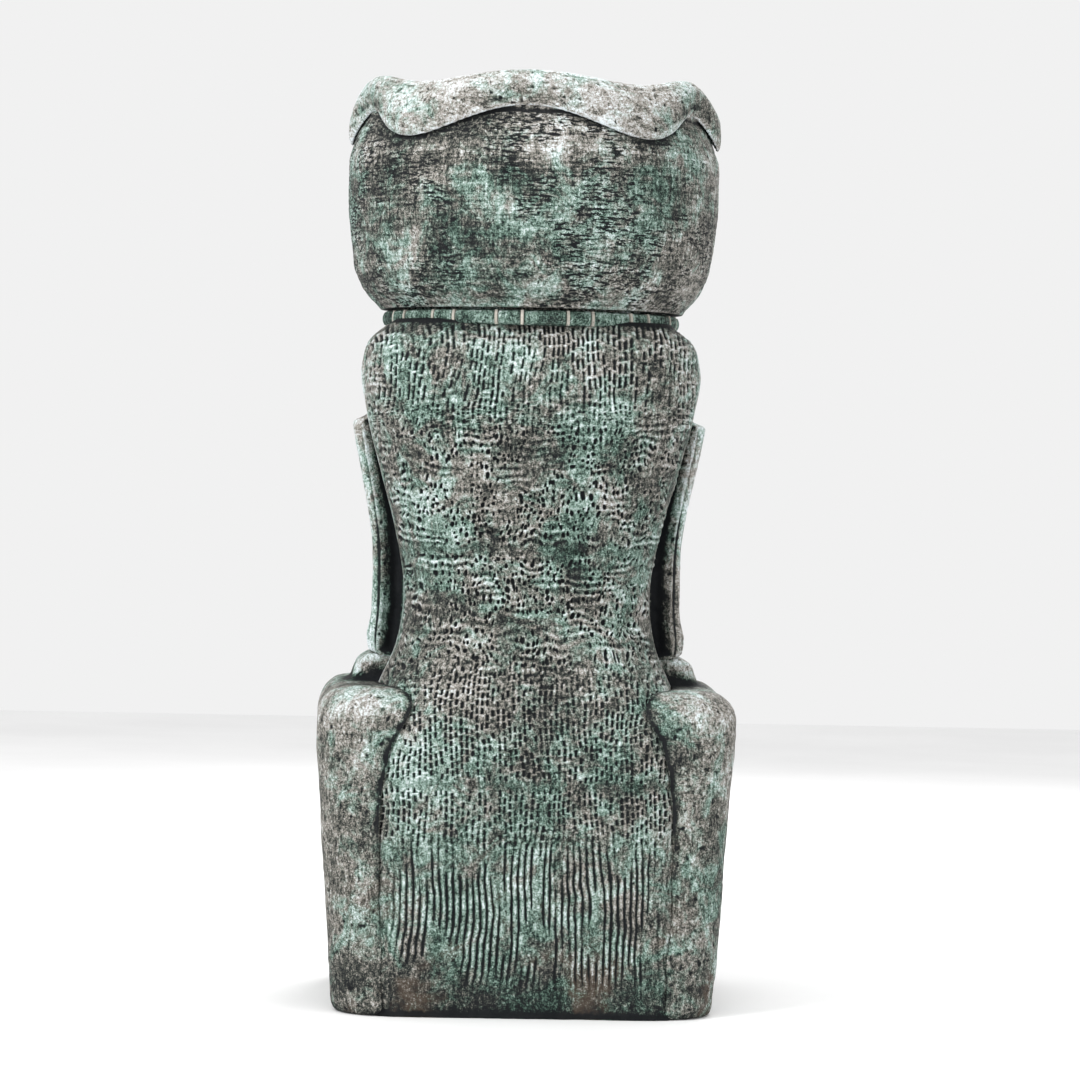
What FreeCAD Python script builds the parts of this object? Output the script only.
"""Pedestal drinking fountain of cast stone: a bust in two bolted shells carries a round bowl on its head.

The row frame has +Z up and its origin on the ground at the middle of the foot. The face looks along -Y
and the carved hair covers the back, +Y. Everything is in millimetres.
"""
import FreeCAD
import Part
import math
import os
from collections import namedtuple

import Sketcher

SIZES = [
    # overall
    ("fountain_height", 1000, "ground to the crests of the rim"),
    ("clearance", 0.5, "gap round a casting that seats in another"),
    ("running_gap", 0.1, "radial gap between a screw, tube or spindle and its hole"),
    # bust
    ("foot_width", 408, "bust across the ground"),
    ("shoulder_width", 454, "bust across the shoulders"),
    ("shoulder_height", 346, "ground to the top of the shoulders"),
    ("shoulder_round", 34, "rounding along the top of the shoulders"),
    ("foot_round", 8, "rounding along the ground"),
    ("chest_depth", 180, "middle to the flat of the chest"),
    ("back_depth", 172, "middle to the back of the shoulders"),
    ("bust_corner", 58, "upright corners of the bust"),
    ("parting", 30, "middle to the seam between the front and rear shells"),
    ("ledge_width", 36, "seam ledges, from the hollow behind the hair to the hollow behind the chest"),
    ("shell_wall", 40, "chest and shoulders, outside to hollow"),
    ("side_wall", 22, "sides of the bust, outside to hollow"),
    # head
    ("head_top", 738, "ground to the flat top of the head"),
    ("hair_neck_width", 268, "carved hair at the neck"),
    ("hair_crown_width", 368, "carved hair at the widest part of the head"),
    ("hair_hem_width", 346, "carved hair over the shoulders"),
    ("hair_back", 194, "middle to the back of the hair over the shoulders"),
    ("ear_reach", 197, "middle to the outer edge of an ear at its top"),
    ("ear_waist", 171, "middle to the outer edge of an ear at its lobe"),
    ("ear_foot", 374, "ground to the underside of an ear lobe"),
    ("ear_top", 636, "ground to the top of an ear"),
    ("ear_depth", 70, "ear from front to back"),
    ("face_depth", 150, "middle to the forehead"),
    ("nose_reach", 196, "middle to the tip of the nose"),
    ("throat_width", 95, "half the width of the hollow in the neck"),
    ("skull_width", 116, "half the width of the hollow in the head"),
    ("crown_thickness", 32, "slab at the top of the head"),
    ("crown_hole", 72, "radius of the hole for pipes through the slabs"),
    # bowl casting and its rim
    ("joint_gap", 4, "mortar bed between the head and the bowl"),
    ("bowl_radius", 203, "widest part of the bowl"),
    ("bowl_foot_radius", 158, "bowl where it meets the band"),
    ("bowl_floor", 30, "thickness of the bowl's floor slab"),
    ("bowl_wall", 25, "thickness of the bowl's wall"),
    ("bowl_seat", 964, "ground to the top of the bowl's wall"),
    ("bowl_mouth_radius", 184, "bowl at the top of its wall"),
    ("rim_inner", 164, "radius of the opening inside the rim"),
    ("rim_lip", 5, "rim proud of the bowl along its hem"),
    ("rim_swell", 5, "half the rise and fall of the rim's crests"),
    ("hem_height", 945, "ground to the middle of the rim's wavy hem"),
    ("hem_swell", 16, "half the rise and fall of the hem"),
    ("wave_count", 6, "waves round the rim"),
    # band
    ("band_radius", 163.5, "outer face of the band"),
    ("band_height", 18, "band from bottom to top"),
    ("band_pairs", 13, "pairs of a long tile and a short one round the band"),
    ("band_joint", 3, "mortar joint between two tiles"),
    # basin
    ("basin_floor", 880, "ground to the basin's floor"),
    ("basin_sheet", 1.5, "thickness of the spun basin"),
    ("basin_floor_radius", 86, "flat of the basin's floor"),
    ("basin_mouth_radius", 161, "basin below its flange"),
    ("basin_flange_radius", 178, "basin flange"),
    # waste
    ("tail_radius", 16, "outer radius of the tailpiece"),
    ("drain_bore", "=tail_radius + 4", "radius of the drain's bore"),
    ("drain_flange", 36, "radius of the drain's flange"),
    ("trap_radius", "=tail_radius + 3", "outer radius of the trap"),
    ("trap_level", 610, "ground to the bottom of the trap's bend"),
    ("trap_swing", 70, "trap inlet to trap outlet"),
    ("waste_radius", "=trap_radius + 2.5", "outer radius of the waste pipe"),
    ("waste_x", -70, "waste pipe, across"),
    ("waste_y", 62, "waste pipe, towards the back"),
    ("pipe_end", 20, "ground to the open ends of the pipes"),
    # water
    ("bubbler_y", 66, "bubbler, towards the back"),
    ("bubbler_top", 998, "ground to the top of the bubbler's guard"),
    ("shank_radius", 7, "bubbler's threaded shank"),
    ("valve_height", 850, "ground to the push valve's axis"),
    ("button_radius", 13.6, "push button"),
    ("button_travel", 5, "push button's stroke"),
    ("flat_reach", 199, "middle to the flat cut on the bowl for the push valve"),
    ("supply_radius", 7.5, "supply tube"),
    ("small_tube_radius", 4.8, "tube from the valve to the bubbler"),
    ("stop_x", 70, "stop valve, across"),
    ("stop_y", -70, "stop valve, towards the face"),
    ("stop_height", 238, "ground to the stop valve's spindle"),
    # access and mounting
    ("cover_width", 190, "access cover"),
    ("cover_height", 221, "access cover"),
    ("cover_thickness", 17, "access cover"),
    ("cover_middle", 170, "ground to the middle of the access cover"),
    ("cover_land", 20, "ledge that the cover's seal lies on"),
    ("seal_thickness", 3, "cover seal"),
    ("frame_side", 330, "mounting frame, square"),
    ("frame_thickness", 8, "mounting frame"),
    ("frame_opening", 210, "opening in the mounting frame, square"),
    ("anchor_spacing", 254, "anchor holes, both ways"),
    ("anchor_hole", 7, "radius of an anchor hole"),
]

# radii of the threads
BOLT = 4
CROWN_BOLT = 5
SCREW = 3

Via = namedtuple("Via", "x y")
VECTOR = FreeCAD.Vector
Z_UP = FreeCAD.Rotation()
Z_TO_FRONT = FreeCAD.Rotation(VECTOR(1, 0, 0), 90)
Z_TO_BACK = FreeCAD.Rotation(VECTOR(1, 0, 0), -90)
Z_TO_RIGHT = FreeCAD.Rotation(VECTOR(0, 1, 0), 90)
Z_DOWN = FreeCAD.Rotation(VECTOR(1, 0, 0), 180)
SIN45 = math.sqrt(0.5)


class Size:
    """A length that knows its value and the spreadsheet expression it comes from."""

    def __init__(self, value, text):
        self.value = value
        self.text = text

    def __float__(self):
        return float(self.value)

    def __add__(self, other):
        return Size(self.value + float(other), f"({self.text} + {term(other)})")

    def __sub__(self, other):
        return Size(self.value - float(other), f"({self.text} - {term(other)})")

    def __mul__(self, other):
        return Size(self.value * float(other), f"({self.text} * {term(other)})")

    def __truediv__(self, other):
        return Size(self.value / float(other), f"({self.text} / {term(other)})")

    def __radd__(self, other):
        return self + other

    def __rsub__(self, other):
        return self * -1 + other

    def __rmul__(self, other):
        return self * other

    def __neg__(self):
        return self * -1


def term(size):
    """The expression text of a size, or of a plain number."""
    return size.text if isinstance(size, Size) else f"({float(size):.9g})"


def bind(thing, path, size):
    """Ties one property of an object to the sheet."""
    thing.setExpression(path, term(size))


doc = FreeCAD.newDocument("drinking_fountain")
sheet = doc.addObject("Spreadsheet::Sheet", "dims")
for row, (alias, value, meaning) in enumerate(SIZES, start=1):
    sheet.set(f"A{row}", str(value))
    sheet.setAlias(f"A{row}", alias)
    sheet.set(f"B{row}", meaning)
doc.recompute()
S = {alias: Size(sheet.get(alias), f"dims.{alias}") for alias, value, meaning in SIZES}

nodes = {}


def node(name, thing):
    """Names a finished sub-part: its label is the name of its file."""
    thing.Label = name
    nodes[name] = thing
    return thing


def place(thing, x=0, y=0, z=0, turn=Z_UP):
    """Stands a piece at a point, with its rotation."""
    thing.Placement = FreeCAD.Placement(VECTOR(float(x), float(y), float(z)), turn)
    for axis, size in zip("xyz", (x, y, z)):
        bind(thing, f"Placement.Base.{axis}", size)
    return thing


def new_body(name):
    return doc.addObject("PartDesign::Body", name)


def outline(body, name, plane, path, lift=0):
    """A closed sketch on an origin plane: straight runs between corners, an arc where a Via lies between."""
    sketch = body.newObject("Sketcher::SketchObject", name)
    support = [f for f in body.Origin.OriginFeatures if f.Role == plane + "_Plane"]
    sketch.AttachmentSupport = [(support[0], "")]
    sketch.MapMode = "FlatFace"
    bind(sketch, "AttachmentOffset.Base.z", lift)
    flat = [VECTOR(float(p[0]), float(p[1]), 0) for p in path]
    count = len(path)
    runs = []
    for i, point in enumerate(path):
        if isinstance(point, Via):
            continue
        j = (i + 1) % count
        if not isinstance(path[j], Via):
            run = sketch.addGeometry(Part.LineSegment(flat[i], flat[j]))
            runs.append((run, 1, 2, i, None))
            continue
        k = (i + 2) % count
        counter_clockwise = (flat[j] - flat[i]).cross(flat[k] - flat[j]).z > 0
        ends = (flat[i], flat[k]) if counter_clockwise else (flat[k], flat[i])
        run = sketch.addGeometry(Part.Arc(ends[0], flat[j], ends[1]))
        runs.append((run, 1 if counter_clockwise else 2, 2 if counter_clockwise else 1, i, j))
    for n, (run, first, last, i, j) in enumerate(runs):
        following = runs[(n + 1) % len(runs)]
        sketch.addConstraint(Sketcher.Constraint("Coincident", run, last, following[0], following[1]))
        pin_point(sketch, run, first, path[i], f"corner{n}")
        if j is not None:
            spot = sketch.addGeometry(Part.Point(flat[j]), True)
            pin_point(sketch, spot, 1, path[j], f"bow{n}")
            sketch.addConstraint(Sketcher.Constraint("PointOnObject", spot, 1, run))
    return sketch


def pin_point(sketch, element, end, point, label):
    """Holds one point of a sketch at two sizes measured from the sketch's origin."""
    for kind, size, axis in (("DistanceX", point[0], -2), ("DistanceY", point[1], -1)):
        if not isinstance(size, Size) and size == 0:
            sketch.addConstraint(Sketcher.Constraint("PointOnObject", element, end, axis))
            continue
        datum = sketch.addConstraint(Sketcher.Constraint(kind, -1, 1, element, end, float(size)))
        tag = label + kind[-1].lower()
        sketch.renameConstraint(datum, tag)
        bind(sketch, "Constraints." + tag, size)


def turned(name, path, x=0, y=0, z=0, turn=Z_UP):
    """A solid of revolution about its own Z: the path holds (radius, height) corners."""
    body = new_body(name)
    sketch = outline(body, name + "_profile", "XZ", path)
    feature = body.newObject("PartDesign::Revolution", name + "_turn")
    feature.Profile = sketch
    feature.ReferenceAxis = (sketch, ["V_Axis"])
    feature.Angle = 360
    return place(body, x, y, z, turn)


def padded(name, plane, path, length, lift=0):
    """An outline pushed out along its plane's normal."""
    body = new_body(name)
    sketch = outline(body, name + "_profile", plane, path, lift)
    feature = body.newObject("PartDesign::Pad", name + "_pad")
    feature.Profile = sketch
    bind(feature, "Length", length)
    return place(body)


def lofted(name, sections, ruled=False):
    """A solid through level outlines: sections holds (height, path) pairs from the bottom up."""
    body = new_body(name)
    sketches = [
        outline(body, f"{name}_level{n}", "XY", path, height)
        for n, (height, path) in enumerate(sections)
    ]
    feature = body.newObject("PartDesign::AdditiveLoft", name + "_loft")
    feature.Profile = sketches[0]
    feature.Sections = sketches[1:]
    feature.Ruled = ruled
    return place(body)


def box(name, x, y, z):
    """A block between two values each way."""
    block = doc.addObject("Part::Box", name)
    for side, (low, high) in zip(("Length", "Width", "Height"), (x, y, z)):
        bind(block, side, high - low if isinstance(high, Size) else float(high) - low)
    return place(block, x[0], y[0], z[0])


def rod(name, radius, length, x=0, y=0, z=0, turn=Z_UP):
    piece = doc.addObject("Part::Cylinder", name)
    bind(piece, "Radius", radius)
    bind(piece, "Height", length)
    return place(piece, x, y, z, turn)


def hexagon(name, radius, length, x=0, y=0, z=0, turn=Z_UP):
    piece = doc.addObject("Part::Prism", name)
    piece.Polygon = 6
    bind(piece, "Circumradius", radius)
    bind(piece, "Height", length)
    return place(piece, x, y, z, turn)


def joined(name, pieces):
    if len(pieces) == 1:
        return pieces[0]
    whole = doc.addObject("Part::MultiFuse", name)
    whole.Shapes = pieces
    return whole


def cut(name, base, tools):
    result = doc.addObject("Part::Cut", name)
    result.Base = base
    result.Tool = joined(name + "_tools", tools)
    return result


def grouped(name, pieces):
    """Like pieces that share one node, as separate solids."""
    group = doc.addObject("Part::Compound", name)
    group.Links = pieces
    return node(name, group)


def tube(name, points, outer, inner, bend):
    """A bent tube: straight runs joined by tangent arcs of one radius."""
    stops = [VECTOR(*(float(c) for c in p)) for p in points]
    edges = []
    start = stops[0]
    for here, following in zip(stops[1:-1], stops[2:]):
        before = (here - start).normalize()
        after = (following - here).normalize()
        half_turn = before.getAngle(after) / 2
        setback = bend * math.tan(half_turn)
        arc_start = here - before * setback
        arc_end = here + after * setback
        inward = (after - before).normalize()
        middle = here + inward * (bend / math.cos(half_turn) - bend)
        edges.append(Part.LineSegment(start, arc_start).toShape())
        edges.append(Part.Arc(arc_start, middle, arc_end).toShape())
        start = arc_end
    edges.append(Part.LineSegment(start, stops[-1]).toShape())
    spine = Part.Wire(edges)
    direction = stops[1] - stops[0]
    walls = []
    for radius in (outer, inner):
        ring = Part.Wire(Part.makeCircle(float(radius), stops[0], direction))
        walls.append(spine.makePipeShell([ring], True, True))
    piece = doc.addObject("Part::Feature", name)
    piece.Shape = walls[0].cut(walls[1])
    return node(name, piece)


def rounded_level(half_width, back, front, corner):
    """A level outline with four rounded corners, from back to front."""
    reach = corner * (1 - SIN45)
    path = []
    for sx, sy, flat in ((1, 1, back), (-1, 1, back), (-1, -1, front), (1, -1, front)):
        side_first = sx * sy > 0
        on_side = (sx * half_width, sy * (flat - corner))
        on_flat = (sx * (half_width - corner), sy * flat)
        bow = Via(sx * (half_width - reach), sy * (flat - reach))
        path += [on_side, bow, on_flat] if side_first else [on_flat, bow, on_side]
    return path


def half_level(half_width, seam, reach, corner, sy):
    """A level outline that is flat at the seam and rounded on the far side, back (sy 1) or front (sy -1)."""
    bow = corner * (1 - SIN45)
    crown = 6
    flat = reach - crown
    left = [
        (-half_width, seam), (-half_width, sy * (flat - corner)),
        Via(-half_width + bow, sy * (flat - bow)),
    ]
    middle = [(-half_width + corner, sy * flat), Via(0, sy * reach), (half_width - corner, sy * flat)]
    right = [
        Via(half_width - bow, sy * (flat - bow)), (half_width, sy * (flat - corner)), (half_width, seam),
    ]
    return left + middle + right


# ---- the bust: front and rear shells -------------------------------------------------------------

def hair_levels(grow, lowest):
    """Levels of the carved hair, grown by a gap for the pocket that it sits in."""
    neck, crown, hem = S["hair_neck_width"], S["hair_crown_width"], S["hair_hem_width"]
    back, shoulder, span = S["hair_back"], S["shoulder_height"], S["head_top"] - S["shoulder_height"]
    shape = [
        (lowest, hem * 0.98, back - 8, 30),
        (shoulder * 0.12, hem * 0.985, back - 6, 30),
        (shoulder * 0.3, hem * 0.992, back - 4, 34),
        (shoulder * 0.5, hem * 1.002, back - 2, 40),
        (shoulder * 0.7, hem * 1.016, back, 54),
        (shoulder * 0.85, hem * 1.0, back, 68),
        (shoulder * 0.975, hem * 0.94, back - 10, 80),
        (shoulder + span * 0.1, neck * 1.06, back - 28, 88),
        (shoulder + span * 0.24, neck, back - 42, 92),
        (shoulder + span * 0.42, neck * 1.08, back - 42, 98),
        (shoulder + span * 0.585, crown * 0.88, back - 34, 108),
        (shoulder + span * 0.75, crown * 0.97, back - 24, 120),
        (shoulder + span * 0.88, crown, back - 20, 128),
        (shoulder + span * 0.955, crown * 0.935, back - 30, 120),
        (S["head_top"], crown * 0.8, back - 52, 102),
    ]
    seam = S["parting"] - grow
    return [
        (z, half_level(wide / 2 + grow, seam, reach + grow, corner, 1))
        for z, wide, reach, corner in shape
    ]


def face_levels():
    """Levels of the front of the head and the neck, flat at the seam."""
    neck, crown, face = S["hair_neck_width"], S["hair_crown_width"], S["face_depth"]
    shoulder, span = S["shoulder_height"], S["head_top"] - S["shoulder_height"]
    shape = [
        (shoulder - 30, neck * 0.84, face - 50, 50),
        (shoulder + span * 0.05, neck * 0.94, face - 14, 60),
        (shoulder + span * 0.24, neck, face - 2, 74),
        (shoulder + span * 0.42, neck * 1.05, face - 2, 80),
        (shoulder + span * 0.585, crown * 0.82, face - 8, 98),
        (shoulder + span * 0.75, crown * 0.9, face, 108),
        (shoulder + span * 0.88, crown * 0.935, face + 2, 116),
        (shoulder + span * 0.955, crown * 0.9, face - 4, 114),
        (S["head_top"], crown * 0.785, face - 18, 106),
    ]
    seam = S["parting"] - S["clearance"]
    return [(z, half_level(wide / 2, seam, reach, corner, -1)) for z, wide, reach, corner in shape]


def bust_block():
    """The shoulders and chest, narrower at the ground and rounded along the top."""
    low, high = S["foot_width"] / 2, S["shoulder_width"] / 2
    top, foot_round, top_round = S["shoulder_height"], S["foot_round"], S["shoulder_round"]
    levels = [(0, low - foot_round, foot_round), (foot_round, low, 0)]
    for turn in (0, 25, 50, 70, 90):
        rise = math.sin(math.radians(turn))
        inset = 1 - math.cos(math.radians(turn))
        levels.append((top - top_round * (1 - rise), high - top_round * inset, top_round * inset))
    return lofted("bust_block", [
        (z, rounded_level(half, S["back_depth"] - inset, S["chest_depth"] - inset, S["bust_corner"] - inset))
        for z, half, inset in levels
    ], ruled=True)


def ear(side, name):
    """A long flat ear beside the head, just in front of the seam."""
    reach, waist = S["ear_reach"], S["ear_waist"]
    foot, top = S["ear_foot"], S["ear_top"]
    root = S["skull_width"] + 4
    path = [
        (side * root, foot),
        (side * (waist - 12), foot),
        Via(side * (waist - 3), foot + 5),
        (side * waist, foot + 18),
        Via(side * (waist + 3), (foot + top) / 2),
        (side * reach, top - 14),
        Via(side * (reach - 2), top - 4),
        (side * (reach - 14), top),
        (side * root, top),
    ]
    return padded(name, "XZ", path, S["ear_depth"], 3 - S["parting"])


def collar():
    """The low ridge across the shoulders at the foot of the neck."""
    half, low, high = S["shoulder_width"] / 2 - 40, S["shoulder_height"] - 20, S["shoulder_height"] + 32
    path = [
        (-half, low), (-half, high - 16), Via(-half + 5, high - 4), (-half + 16, high),
        (half - 16, high), Via(half - 5, high - 4), (half, high - 16), (half, low),
    ]
    return padded("collar", "XZ", path, 100, 3 - S["parting"])


def feature_across(name, half_width, profile):
    """A feature of the face: a side profile of (reach, height) pushed out across the middle."""
    path = [Via(-p.x, p.y) if isinstance(p, Via) else (-p[0], p[1]) for p in profile]
    return padded(name, "YZ", path, 2 * half_width, -half_width)


def face_features():
    """Brow, nose, lips and chin in plain relief."""
    face, nose, root = S["face_depth"], S["nose_reach"], S["face_depth"] - 32
    top, low = S["head_top"], S["shoulder_height"]
    brow = [
        (root, top - 86), (face + 4, top - 92), Via(face + 16, top - 108), (face + 14, top - 128),
        Via(face + 8, top - 140), (face - 10, top - 148), (root, top - 150),
    ]
    bridge = [
        (root, top - 140), (face + 8, top - 140), (nose, low + 134),
        Via(nose, low + 122), (nose - 9, low + 114), (root, low + 108),
    ]
    lips = [
        (root, low + 88), (face + 2, low + 86), Via(face + 12, low + 78), (face + 6, low + 70),
        Via(face + 11, low + 62), (face, low + 52), (root, low + 50),
    ]
    chin = [
        (root, low + 44), (face - 2, low + 42),
        Via(face + 14, low + 22), (face + 2, low + 4), (root, low - 2),
    ]
    return [
        feature_across("brow", 112, brow), feature_across("nose", 27, bridge),
        feature_across("lips", 42, lips), feature_across("chin", 62, chin),
    ]


def chamber():
    """Half widths behind the hair and behind the chest, depth each way, and ceiling of the hollow bust."""
    side = S["foot_width"] / 2 - S["side_wall"]
    return side - S["ledge_width"], side, S["chest_depth"] - S["shell_wall"], S["shoulder_height"] - 42


def hollow(name):
    """The space for the pipes: a chamber in the bust, the neck, the skull and the hole in the crown."""
    bench, side, depth, ceiling = chamber()
    throat, skull = S["throat_width"], S["skull_width"]
    crown_underside = S["head_top"] - S["crown_thickness"]
    levels = [
        (-1, rounded_level(bench, depth, depth, 40)),
        (ceiling, rounded_level(bench, depth, depth, 40)),
        (ceiling + 46, rounded_level(throat, throat + 13, throat - 4, 36)),
        (ceiling + 150, rounded_level(throat, throat + 13, throat - 4, 36)),
        (crown_underside - 130, rounded_level(skull, skull + 4, skull - 4, 48)),
        (crown_underside, rounded_level(skull, skull + 4, skull - 4, 48)),
    ]
    front = box(name + "_chamber", (-side, side), (-depth, 0), (-1, ceiling))
    chimney = rod(name + "_chimney", S["crown_hole"], S["crown_thickness"] + 20, z=crown_underside - 10)
    return joined(name, [lofted(name + "_core", levels, ruled=True), front, chimney])


def frame_rebate(name):
    half = S["frame_side"] / 2 + S["clearance"]
    return box(name, (-half, half), (-half, half), (-1, S["frame_thickness"]))


def shell_bolt_places():
    """The seam bolts, three a side, through the ledges in front of the hair."""
    bench, _, _, ceiling = chamber()
    across = (bench + S["hair_hem_width"] / 2) / 2
    heights = [60, S["cover_middle"] - 10, ceiling - 40]
    return [(side * across, z) for side in (-1, 1) for z in heights]


def crown_bolt_places():
    """Four bolts that hold the bowl down, two to each shell."""
    reach = S["crown_hole"] + 7
    return [(sx * reach, sy * reach) for sx in (-1, 1) for sy in (-1, 1)]


def frame_screw_places():
    across, along = 100, (chamber()[2] + S["frame_side"] / 2) / 2
    return [(sx * across, sy * along) for sx in (-1, 1) for sy in (-1, 1)]


def band_levels():
    """Underside and top of the band, which straddles the joint between the head and the bowl."""
    middle = S["head_top"] + S["joint_gap"] / 2
    return middle - S["band_height"] / 2, middle + S["band_height"] / 2


def band_rebate(name):
    """The step round the top of the head that the band stands on."""
    low = band_levels()[0]
    inner = S["bowl_foot_radius"] - 12
    high, outer = S["head_top"] + 10, S["bowl_radius"] + 40
    return turned(name, [(inner, low), (outer, low), (outer, high), (inner, high)])


def crown_bores(name):
    radius = CROWN_BOLT + S["running_gap"]
    return [
        rod(f"{name}{n}", radius, S["crown_thickness"] + 20, x, y, S["head_top"] - S["crown_thickness"] - 10)
        for n, (x, y) in enumerate(crown_bolt_places())
    ]


def frame_sockets(name, side):
    """Threaded sockets for the mounting frame's screws in one shell."""
    places = [p for p in frame_screw_places() if float(p[1]) * side > 0]
    return [
        rod(f"{name}{n}", BOLT + S["running_gap"], 34, x, y, S["frame_thickness"] - 1)
        for n, (x, y) in enumerate(places)
    ]


def cover_corner_places():
    across = S["cover_width"] / 2 - S["cover_land"] / 2 + 3
    up = S["cover_height"] / 2 - S["cover_land"] / 2 + 3
    return [(sx * across, S["cover_middle"] + sz * up) for sx in (-1, 1) for sz in (-1, 1)]


def front_shell():
    body = joined("front_mass", [
        bust_block(), lofted("face_mass", face_levels()), ear(1, "ear_right"), ear(-1, "ear_left"),
        collar(), *face_features(),
    ])
    half_cover = S["cover_width"] / 2 + S["clearance"]
    half_high = S["cover_height"] / 2 + S["clearance"]
    land = S["cover_land"] + S["clearance"]
    chest, middle, depth = S["chest_depth"], S["cover_middle"], chamber()[2]
    seat = chest - S["cover_thickness"] - S["seal_thickness"]
    tools = [
        hollow("front_hollow"),
        lofted("hair_pocket", hair_levels(S["clearance"], -2)),
        frame_rebate("front_rebate"),
        box("cover_rebate", (-half_cover, half_cover), (-chest - 40, -seat),
            (middle - half_high, middle + half_high)),
        box("cover_opening", (-half_cover + land, half_cover - land), (-chest, -depth + 5),
            (middle - half_high + land, middle + half_high - land)),
    ]
    ledge = S["parting"] + 4
    tools += [
        rod(f"ledge_bore{n}", BOLT + S["running_gap"], ledge, x, ledge - 2, z, Z_TO_FRONT)
        for n, (x, z) in enumerate(shell_bolt_places())
    ]
    tools += [
        rod(f"cover_socket{n}", SCREW + S["running_gap"], chest - depth + 2, x, -depth + 1, z, Z_TO_FRONT)
        for n, (x, z) in enumerate(cover_corner_places())
    ]
    tools += crown_bores("front_crown_bore") + frame_sockets("front_socket", -1)
    tools.append(band_rebate("front_band_rebate"))
    return node("front_shell", cut("front_shell", body, tools))


def rear_shell():
    depth = 44
    tools = [hollow("rear_hollow"), frame_rebate("rear_rebate")]
    tools += [
        rod(f"rear_bore{n}", BOLT + S["running_gap"], depth + 2, x, S["parting"] + depth, z, Z_TO_FRONT)
        for n, (x, z) in enumerate(shell_bolt_places())
    ]
    tools += crown_bores("rear_crown_bore") + frame_sockets("rear_socket", 1)
    tools.append(band_rebate("rear_band_rebate"))
    return node("rear_shell", cut("rear_shell", lofted("hair_mass", hair_levels(0, 0)), tools))


def bolt(name, radius, length, head, x, y, z, turn):
    """A hexagon-headed bolt: its shank runs along its own Z from the head's seat at the point given."""
    shank = rod(name + "_shank", radius, length)
    cap = hexagon(name + "_head", head, radius * 1.3, z=-radius * 1.3)
    return place(joined(name, [shank, cap]), x, y, z, turn)


def nut(name, radius, bore, height, x, y, z, turn=Z_UP):
    blank = hexagon(name + "_blank", radius, height)
    hole = rod(name + "_hole", bore, height + 2, z=-1)
    return place(cut(name, blank, [hole]), x, y, z, turn)


def washer(name, outer, bore, height, x, y, z, turn=Z_UP):
    blank = rod(name + "_blank", outer, height)
    hole = rod(name + "_hole", bore, height + 2, z=-1)
    return place(cut(name, blank, [hole]), x, y, z, turn)


def bust_fixings():
    """Seam bolts and washers between the shells, from inside the chest."""
    thick = 2
    bolts, washers = [], []
    for n, (x, z) in enumerate(shell_bolt_places()):
        washers.append(washer(f"seam_washer{n}", 8, BOLT + S["running_gap"], thick, x, -thick, z, Z_TO_BACK))
        bolts.append(bolt(f"seam_bolt{n}", BOLT, S["parting"] + 40, 7.5, x, -thick, z, Z_TO_BACK))
    grouped("seam_bolts", bolts)
    grouped("seam_washers", washers)


def mounting_frame():
    side, opening, thick = S["frame_side"] / 2, S["frame_opening"] / 2, S["frame_thickness"]
    plate = box("frame_plate", (-side, side), (-side, side), (0, thick))
    tools = [box("frame_window", (-opening, opening), (-opening, opening), (-1, thick + 1))]
    half = S["anchor_spacing"] / 2
    corners = [(sx * half, sy * half) for sx in (-1, 1) for sy in (-1, 1)]
    for n, (x, y) in enumerate(corners):
        tools.append(rod(f"anchor_hole{n}", S["anchor_hole"], thick + 2, x, y, -1))
    gap = S["running_gap"]
    screws = []
    for n, (x, y) in enumerate(frame_screw_places()):
        tools.append(countersunk(f"frame_seat{n}", BOLT + gap, thick + 2, 8 + gap, x, y, 0))
        screws.append(countersunk(f"frame_screw{n}", BOLT, 36, 8, x, y, 0))
    node("mounting_frame", cut("mounting_frame", plate, tools))
    grouped("frame_screws", screws)


def countersunk(name, radius, length, head, x, y, z):
    """A flat-headed screw that goes up from the point given."""
    return turned(name, [(0, 0), (head, 0), (radius, head - radius), (radius, length), (0, length)], x, y, z)


# ---- bowl casting, rim and band ------------------------------------------------------------------

def bowl_profile(grow=0):
    """The bowl's outer face from its foot to its mouth, as corners and bows of the turned profile."""
    wide, mouth, seat = S["bowl_radius"] + grow, S["bowl_mouth_radius"] + grow, S["bowl_seat"] + grow
    foot = S["head_top"] + S["joint_gap"] + 8
    return [
        (S["bowl_foot_radius"] + grow, foot),
        Via(wide - 13, foot + 39), (wide, foot + 100),
        Via(wide - 1.5, seat - 50), (mouth, seat),
    ]


def bowl_casting():
    under = S["head_top"] + S["joint_gap"]
    seat, floor = S["bowl_seat"], under + S["bowl_floor"]
    inside, step = S["bowl_radius"] - S["bowl_wall"], S["bowl_foot_radius"] - 12
    profile = [
        (S["crown_hole"], under), (step, under), (step, under + 8),
        *bowl_profile(),
        (S["basin_mouth_radius"] + 6, seat), (S["basin_mouth_radius"] + 6, seat - 12),
        (inside, seat - 40), (inside, floor + 60), Via(inside - 16, floor + 18), (inside - 54, floor),
        (S["crown_hole"], floor),
    ]
    height, gap = S["valve_height"], S["running_gap"]
    flat = S["flat_reach"]
    tools = [
        rod("valve_hole", 16 + gap, 80, 0, -flat + 60, height, Z_TO_FRONT),
        rod("outer_flat", 30, 30, 0, -flat, height, Z_TO_FRONT),
        rod("inner_flat", 27, 30, 0, -flat + 49, height, Z_TO_FRONT),
    ]
    tools += [
        rod(f"bowl_bore{n}", CROWN_BOLT + gap, S["bowl_floor"] + 4, x, y, under - 2)
        for n, (x, y) in enumerate(crown_bolt_places())
    ]
    node("bowl_casting", cut("bowl_casting", turned("bowl_mass", profile), tools))


WAVE_DRIFT = 0.16


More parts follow.
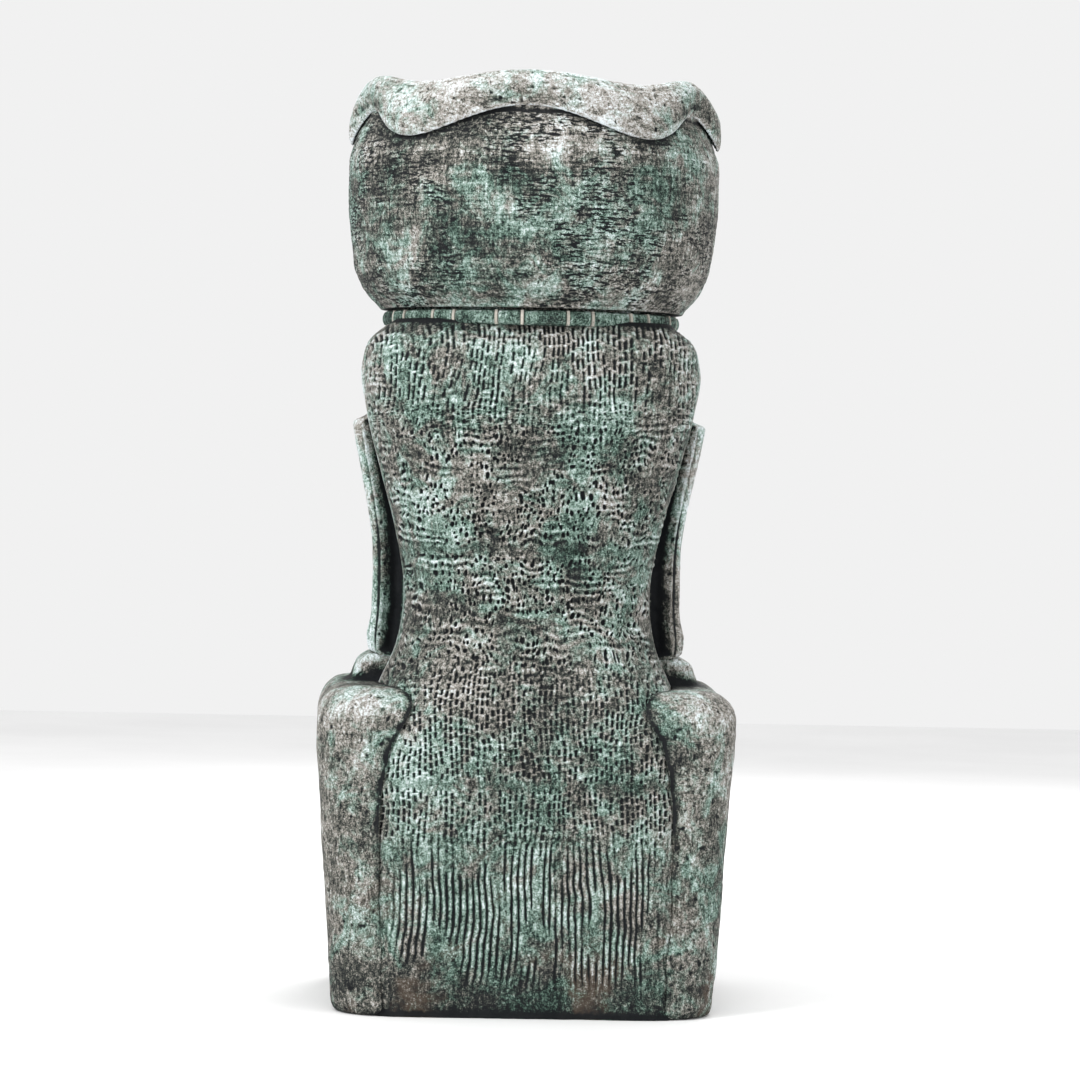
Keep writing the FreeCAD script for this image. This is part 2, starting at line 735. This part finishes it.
def wave(angle):
    """Rise of the rim at an angle: 1 at a crest, -1 in a dip. Waves are widest at the back and the face."""
    from_back = angle - math.pi / 2
    return math.cos(float(S["wave_count"]) * (from_back - WAVE_DRIFT * math.sin(2 * from_back)))


def rim_casting():
    """The wavy rim: a loft round the bowl's mouth that hangs over its outer face."""
    body = new_body("rim_mass")
    sketches = []
    stations = int(float(S["wave_count"]) * 6)
    for n in range(stations):
        angle = 2 * math.pi * n / stations
        top = S["fountain_height"] - S["rim_swell"] + S["rim_swell"] * wave(angle)
        hem = S["hem_height"] + S["hem_swell"] * wave(angle)
        inner, seat = S["rim_inner"], S["bowl_seat"] + S["basin_sheet"] + 0.5
        lip = S["bowl_mouth_radius"] + (S["bowl_seat"] - hem) * 0.42 + S["rim_lip"]
        path = [
            (inner, seat), (inner, top - 12), Via(inner + 3, top - 4), (inner + 11, top),
            Via((inner + lip) / 2 + 9, (top + hem) / 2 + 6), (lip, hem + 5), Via(lip - 1.5, hem + 1.5),
            (lip - 6, hem), (lip - 22, hem),
        ]
        sketch = outline(body, f"rim_section{n}", "XZ", path)
        about_z = FreeCAD.Rotation(VECTOR(0, 1, 0), math.degrees(angle))
        sketch.AttachmentOffset = FreeCAD.Placement(VECTOR(0, 0, 0), about_z)
        sketches.append(sketch)
    feature = body.newObject("PartDesign::AdditiveLoft", "rim_loft")
    feature.Profile = sketches[0]
    feature.Sections = sketches[1:]
    feature.Closed = True
    gap, sheet_metal = S["clearance"], S["basin_sheet"]
    seat = turned("rim_seat", [(0, S["head_top"]), *bowl_profile(gap), (0, S["bowl_seat"] + gap)])
    flange = rod("flange_seat", S["basin_flange_radius"] + gap, sheet_metal + 1, z=S["bowl_seat"] - gap)
    node("rim_casting", cut("rim_casting", body, [seat, flange]))


SHORT_TILE = 10
SHORT_TILE_AT = 107


def band():
    """Cast tiles bedded round the joint, with mortar between them and a mortar bed under the bowl."""
    low, high = band_levels()
    low, high = low + 0.2, high - 0.4
    inner, outer = S["bowl_foot_radius"] - 11.5, S["band_radius"]
    tile_path = [
        (inner, low), (outer - 5, low), Via(outer - 1.5, low + 2), (outer, low + 6), (outer, high - 6),
        Via(outer - 1.5, high - 2), (outer - 5, high), (inner, high),
    ]
    joint_path = [(inner, low + 1), (outer - 4, low + 1), (outer - 2.5, low + 6), (outer - 2.5, high - 6),
                  (outer - 4, high - 1), (inner, high - 1)]
    gap_angle = math.degrees(float(S["band_joint"] / outer))
    pitch = 360 / int(float(S["band_pairs"]))
    tiles, joints = [], []
    for n in range(int(float(S["band_pairs"]))):
        start = SHORT_TILE_AT - SHORT_TILE / 2 + n * pitch
        for kind, low_end, high_end in (("short", 0, SHORT_TILE), ("long", SHORT_TILE, pitch)):
            first, sweep = start + low_end + gap_angle / 2, high_end - low_end - gap_angle
            tiles.append(arc_solid(f"{kind}_tile{n}", tile_path, sweep, first))
            joints.append(arc_solid(f"{kind}_joint{n}", joint_path, gap_angle, first - gap_angle))
    grouped("band_tiles", tiles)
    grouped("band_mortar", joints)
    bed = washer("bed", S["bowl_foot_radius"] - 13, S["crown_hole"], S["joint_gap"], 0, 0, S["head_top"])
    bores = [
        rod(f"bed_bore{n}", CROWN_BOLT + S["running_gap"], 20, x, y, S["head_top"] - 5)
        for n, (x, y) in enumerate(crown_bolt_places())
    ]
    node("bedding_mortar", cut("bedding_mortar", bed, bores))


def arc_solid(name, path, sweep, start):
    """Part of a ring: a profile turned through an angle from a starting angle about Z."""
    body = turned(name, path, turn=FreeCAD.Rotation(VECTOR(0, 0, 1), start))
    body.Tip.Angle = sweep
    return body


def crown_fixings():
    """Bolts, washers and nuts through the bowl's floor and the crown."""
    thick, head_seat = 2, S["head_top"] + S["joint_gap"] + S["bowl_floor"]
    slab = S["bowl_floor"] + S["joint_gap"] + S["crown_thickness"]
    gap = S["running_gap"]
    bolts, washers, nuts = [], [], []
    for n, (x, y) in enumerate(crown_bolt_places()):
        bolts.append(bolt(f"crown_bolt{n}", CROWN_BOLT, slab + 20, 9, x, y, head_seat + thick, Z_DOWN))
        washers.append(washer(f"crown_washer_top{n}", 11, CROWN_BOLT + gap, thick, x, y, head_seat))
        under = head_seat - slab - thick
        washers.append(washer(f"crown_washer_low{n}", 11, CROWN_BOLT + gap, thick, x, y, under))
        nuts.append(nut(f"crown_nut{n}", 9, CROWN_BOLT + gap, 8, x, y, under - 8))
    grouped("crown_bolts", bolts)
    grouped("crown_washers", washers)
    grouped("crown_nuts", nuts)


# ---- basin, bubbler and waste --------------------------------------------------------------------

def basin():
    floor, seat, sheet_metal = S["basin_floor"], S["bowl_seat"], S["basin_sheet"]
    flat, mouth, flange = S["basin_floor_radius"], S["basin_mouth_radius"], S["basin_flange_radius"]
    drain = S["drain_bore"] + 6.5
    inside = mouth - sheet_metal
    profile = [
        (drain, floor - sheet_metal), (flat, floor - sheet_metal),
        Via(mouth - 17, floor + 24), (mouth, seat - 6), (mouth, seat), (flange, seat),
        (flange, seat + sheet_metal), (inside, seat + sheet_metal), (inside, seat - 6),
        Via(mouth - 19, floor + 25.5), (flat, floor), (drain, floor),
    ]
    hole = rod("bubbler_hole", S["shank_radius"] + 0.5, 20, 0, S["bubbler_y"], floor - 10)
    node("basin", cut("basin", turned("basin_bowl", profile), [hole]))


def bubbler():
    floor, y, top, shank = S["basin_floor"], S["bubbler_y"], S["bubbler_top"], S["shank_radius"]
    under, gap = floor - S["basin_sheet"], S["running_gap"]
    bore, tube_bore = 3, S["small_tube_radius"] + gap
    node("bubbler_body", turned("bubbler_body", [
        (bore, floor - 36), (shank, floor - 36), (shank, floor), (15, floor), (15, floor + 3),
        Via(10.5, floor + 6), (8, floor + 13), (8, top - 42), Via(9, top - 34), (13, top - 30),
        (13, top - 16), Via(10.5, top - 11), (6, top - 9), (bore, top - 9),
    ], 0, y))
    hood = turned("hood_ring", [
        (13 + gap, top - 22), (16, top - 22), (16, top - 10), Via(14.5, top - 3), (11, top),
        (9.5, top - 1.5),
        Via(12.2, top - 5), (13 + gap, top - 10),
    ], 0, y)
    mouth = box("hood_mouth", (-20, 20), (y - 20, y - 3), (top - 14, top + 2))
    node("bubbler_guard", cut("bubbler_guard", hood, [mouth]))
    node("bubbler_gasket", washer("bubbler_gasket", 14, shank + gap, 3, 0, y, under - 3))
    node("bubbler_nut", nut("bubbler_nut", 13, shank + gap, 7, 0, y, under - 10))
    node("bubbler_tube_nut", turned("bubbler_tube_nut", [
        (tube_bore, floor - 47), (9, floor - 47), (9, floor - 24), (shank + gap, floor - 24),
        (shank + gap, floor - 36 - gap), (tube_bore, floor - 36 - gap),
    ], 0, y))


def drain():
    floor, bore, flange, gap = S["basin_floor"], S["drain_bore"], S["drain_flange"], S["running_gap"]
    under, neck = floor - S["basin_sheet"], bore + 6
    foot = floor - 42
    body = turned("drain_turned", [
        (bore, floor - 34), (bore, floor + 2.5), (flange - 2, floor + 2.5), (flange, floor), (neck, floor),
        (neck, foot), (S["tail_radius"] + gap, foot), (S["tail_radius"] + gap, floor - 34),
    ])
    bar = box("drain_bar", (-bore - 1, bore + 1), (-3, 3), (floor - 12, floor - 6))
    bore_through = rod("drain_bar_bore", 2.5 + gap, 20, z=floor - 20)
    node("drain_body", cut("drain_body", joined("drain_web", [body, bar]), [bore_through]))
    node("drain_gasket", washer("drain_gasket", flange, neck + gap, 3, 0, 0, under - 3))
    node("drain_nut", nut("drain_nut", flange + 2, neck + gap, 8, 0, 0, under - 11))
    plate = washer("strainer_plate", flange - 3, 2.5 + gap, 1.5, 0, 0, floor + 2.5)
    holes = []
    for count, ring in ((6, 9), (12, 17)):
        for n in range(count):
            x, y = (ring * turn(2 * math.pi * n / count) for turn in (math.cos, math.sin))
            holes.append(rod(f"strainer_hole{ring}_{n}", 2.6, 6, x, y, floor))
    node("strainer", cut("strainer", plate, holes))
    node("strainer_screw", turned("strainer_screw", [
        (0, floor - 14), (2.5, floor - 14), (2.5, floor + 4), (5, floor + 4),
        Via(4, floor + 6), (2, floor + 6.6), (0, floor + 6.6),
    ]))


def waste():
    """Tailpiece, trap and waste pipe, from the drain to the ground."""
    gap, tail, trap, pipe = S["running_gap"], S["tail_radius"], S["trap_radius"], S["waste_radius"]
    drain_foot = S["basin_floor"] - 42
    rest, trap_top = drain_foot + 8, S["trap_level"] + 95
    tail_foot = trap_top - 22
    node("tailpiece", turned("tailpiece", [
        (tail - 1.5, tail_foot), (tail, tail_foot), (tail, rest), (tail + 3, rest),
        (tail + 3, rest + 2), (tail - 1.5, rest + 2),
    ]))
    node("trap_nut", turned("trap_nut", [
        (tail + gap, trap_top + gap), (trap + gap, trap_top + gap), (trap + gap, trap_top - 14),
        (trap + 7, trap_top - 14), (trap + 7, trap_top + 5), (trap + 4, trap_top + 8),
        (tail + gap, trap_top + 8),
    ]))
    level, swing, x, y = S["trap_level"], S["trap_swing"], S["waste_x"], S["waste_y"]
    outlet = level + 60
    pipe_top = outlet - 46
    tube("trap", [
        (0, 0, trap_top), (0, 0, level), (-swing, 0, level), (-swing, 0, outlet), (x, y, outlet),
        (x, y, pipe_top - 30),
    ], trap, trap - 2, 29)
    end, spigot = S["pipe_end"], S["pipe_end"] + 110
    node("waste_pipe", turned("waste_pipe", [
        (trap + gap, spigot + 12), (pipe, spigot + 12), (pipe, pipe_top), (pipe + 3, pipe_top),
        (pipe + 3, pipe_top + 14), (trap + gap, pipe_top + 14),
    ], x, y))
    node("waste_tail", turned("waste_tail", [
        (trap + gap, end), (pipe, end), (pipe, spigot), (pipe + 4, spigot + 4), (pipe + 4, spigot + 50),
        (pipe + gap, spigot + 50), (pipe + gap, spigot + 11), (trap + gap, spigot + 11),
    ], x, y))


# ---- push valve, supply and stop valve -----------------------------------------------------------

def push_valve():
    """Valve through the bowl's wall, with its bezel, button, spring and gasket; heights run outwards."""
    level, gap, flat, travel = S["valve_height"], S["running_gap"], S["flat_reach"], S["button_travel"]
    button, neck = S["button_radius"], 16
    inner = flat - 19
    spot = dict(x=0, y=0, z=level, turn=Z_TO_FRONT)
    body = turned("valve_turned", [
        (0, inner - 80), (17, inner - 80), (19, inner - 78), (19, inner - 8), (24, inner - 8),
        (24, inner - 2),
        (neck, inner - 2), (neck, flat + 4), (button + gap + 0.3, flat + 4),
        (button + gap + 0.3, inner - 30),
        (4.5 + gap, inner - 30), (4.5 + gap, inner - 72), (0, inner - 72),
    ], **spot)
    ports = [
        rod("inlet_port", 10, 20, 14, -inner + 55, level, Z_TO_RIGHT),
        rod("outlet_port", 8, 20, -34, -inner + 55, level, Z_TO_RIGHT),
    ]
    bores = [
        rod("inlet_bore", S["supply_radius"] + gap, 12, 24, -inner + 55, level, Z_TO_RIGHT),
        rod("outlet_bore", S["small_tube_radius"] + gap, 12, -36, -inner + 55, level, Z_TO_RIGHT),
        rod("flow_bore", 3 + gap, 12, 0, -inner + 40, level - 22),
    ]
    node("valve_body", cut("valve_body", joined("valve_cast", [body, *ports]), bores))
    node("valve_gasket", washer("valve_gasket", 24, neck + gap, 2, 0, -inner + 2, level, Z_TO_FRONT))
    node("valve_bezel", turned("valve_bezel", [
        (neck + gap, flat), (27, flat), (27, flat + 3), Via(25.5, flat + 6.5), (22, flat + 8),
        (button + gap + 0.3, flat + 8), (button + gap + 0.3, flat + 4 + gap), (neck + gap, flat + 4 + gap),
    ], **spot))
    crown = flat + 8 + travel + 2
    node("push_button", turned("push_button", [
        (0, inner - 10), (button - 3, inner - 10), (button, inner - 8), (button, crown - 3),
        Via(button - 1.2, crown - 1), (button - 5, crown), (0, crown + 0.8),
    ], **spot))
    node("valve_plunger", turned("valve_plunger", [
        (0, inner - 64), (4.5, inner - 64), (4.5, inner - 16), (7, inner - 16), (7, inner - 10),
        (0, inner - 10),
    ], **spot))
    node("return_spring", spring("return_spring", 10, 0.8, inner - 29, inner - 11.2, 5, level))
    slot = box("screw_slot", (-5, 5), (-inner + 39.4, -inner + 40.6), (level - 23, level - 20.5))
    node("flow_screw", cut("flow_screw", turned("flow_screw_stem", [
        (0, 0), (4.5, 0), (4.5, 3), (3, 3), (3, 9), (0, 9),
    ], 0, -inner + 40, level - 22), [slot]))


def spring(name, radius, wire, low, high, turns, level):
    """A coil along the valve's axis between two distances from the middle."""
    length = float(high) - float(low)
    helix = Part.makeHelix((length - 2 * wire) / turns, length - 2 * wire, radius)
    ring = Part.Wire(Part.makeCircle(wire, VECTOR(radius, 0, 0), VECTOR(0, 1, 0)))
    coil = Part.Wire(helix.Edges).makePipeShell([ring], True, True)
    piece = doc.addObject("Part::Feature", name)
    piece.Shape = coil
    return place(piece, 0, -(low + wire), level, Z_TO_FRONT)


def supply():
    """Tail, strainer, stop valve and tubes from the ground to the push valve and the bubbler."""
    gap, tube_radius, small = S["running_gap"], S["supply_radius"], S["small_tube_radius"]
    x, y, level, end = S["stop_x"], S["stop_y"], S["stop_height"], S["pipe_end"]
    low, high = level - 26, level + 26
    node("supply_tail", turned("supply_tail", [
        (tube_radius - 1, end), (tube_radius, end), (tube_radius, low - 64), (tube_radius + 2, low - 64),
        (tube_radius + 2, low - 60.5), (tube_radius - 0.1, low - 60.5), (tube_radius - 0.1, low - 48),
        (tube_radius - 1, low - 48),
    ], x, y))
    node("inline_strainer", turned("inline_strainer", [
        (tube_radius + gap, low - 60), (12, low - 60), (12, low - 46), (16, low - 42),
        (16, low - 14), (12, low - 10), (10, low - 10), (10, low), (4, low), (4, low - 40),
        (tube_radius - 1, low - 47 + gap), (tube_radius + gap, low - 47 + gap),
    ], x, y))
    ball = turned("stop_turned", [
        (5, low), (11, low), (11, low + 8), (15, low + 12), (15, high - 12), (11, high - 8), (11, high),
        (tube_radius + gap, high), (tube_radius + gap, high - 10), (5, high - 10),
    ], x, y)
    neck = rod("stop_neck", 7, 20, x, y - 8, level, Z_TO_FRONT)
    stem_bore = rod("stem_bore", 4 + gap, 20, x, y - 12, level, Z_TO_FRONT)
    node("stop_valve_body", cut("stop_valve_body", joined("stop_cast", [ball, neck]), [stem_bore]))
    node("stop_valve_stem", rod("stop_valve_stem", 4, 24, x, y - 13, level, Z_TO_FRONT))
    plate = box("lever_plate", (x - 7, x + 7), (y - 33, y - 29.5), (level - 8, level + 58))
    lever_hole = rod("lever_hole", 4 + gap, 12, x, y - 26, level, Z_TO_FRONT)
    node("stop_valve_lever", cut("stop_valve_lever", plate, [lever_hole]))
    node("lever_nut", nut("lever_nut", 6.5, 4 + gap, 4, x, y - 33, level, Z_TO_FRONT))
    inner = S["flat_reach"] - 19
    valve, port = S["valve_height"], -inner + 55
    pass_through = S["head_top"]
    tube("riser", [
        (x, y, high - 9), (x, y, pass_through - 90), (34, -34, pass_through - 45),
        (34, -34, pass_through + 62), (62, port, pass_through + 84), (62, port, valve), (25, port, valve),
    ], tube_radius, tube_radius - 1, 18)
    tube("bubbler_tube", [
        (0, S["bubbler_y"], S["basin_floor"] - 36.4), (0, S["bubbler_y"], S["basin_floor"] - 72),
        (-56, S["bubbler_y"] - 20, S["basin_floor"] - 72), (-56, port, S["basin_floor"] - 72),
        (-56, port, valve), (-25, port, valve),
    ], small, small - 0.8, 12)
    node("riser_nut", nut("riser_nut", 12, tube_radius + gap, 9, x, y, high))


# ---- access cover --------------------------------------------------------------------------------

def access_cover():
    chest, thick, seal = S["chest_depth"], S["cover_thickness"], S["seal_thickness"]
    half, middle = S["cover_width"] / 2, S["cover_middle"]
    low, high = middle - S["cover_height"] / 2, middle + S["cover_height"] / 2
    back, seat = -(chest - thick), -(chest - thick - seal)
    plate = box("cover_plate", (-half, half), (-chest, back), (low, high))
    seal_ring = box("seal_plate", (-half, half), (back, seat), (low, high))
    land, hole = S["cover_land"], SCREW + S["running_gap"]
    window = box("seal_window", (-half + land, half - land), (back - 1, seat + 1), (low + land, high - land))
    bores, seal_bores, screws = [], [], []
    for n, (x, z) in enumerate(cover_corner_places()):
        bores.append(rod(f"cover_bore{n}", hole, thick + 2, x, back + 1, z, Z_TO_FRONT))
        seal_bores.append(rod(f"seal_bore{n}", hole, seal + 2, x, seat + 1, z, Z_TO_FRONT))
        screws.append(turned(f"cover_screw{n}", [
            (0, chest - 28), (SCREW, chest - 28), (SCREW, chest), (6, chest),
            Via(4.6, chest + 2.4), (2, chest + 3.4), (0, chest + 3.4),
        ], x, 0, z, Z_TO_FRONT))
    node("access_cover", cut("access_cover", plate, bores))
    node("cover_seal", cut("cover_seal", seal_ring, [window, *seal_bores]))
    grouped("cover_screws", screws)


def check_document():
    """Stops if any object failed, or any sub-part has no valid solid."""
    doc.recompute()
    failed = [o.Name for o in doc.Objects if "Invalid" in o.State or "Error" in o.State]
    bad = [name for name, thing in nodes.items() if thing.Shape.isNull() or not thing.Shape.isValid()]
    if failed or bad:
        raise SystemExit(f"failed objects {failed}, sub-parts with no valid shape {bad}")


front_shell()
rear_shell()
bust_fixings()
mounting_frame()
bowl_casting()
rim_casting()
band()
crown_fixings()
basin()
bubbler()
drain()
waste()
push_valve()
supply()
access_cover()
check_document()

os.makedirs("parts", exist_ok=True)
for name, thing in nodes.items():
    thing.Shape.exportStep(f"parts/{name}.step")
print(len(nodes), "sub-parts")
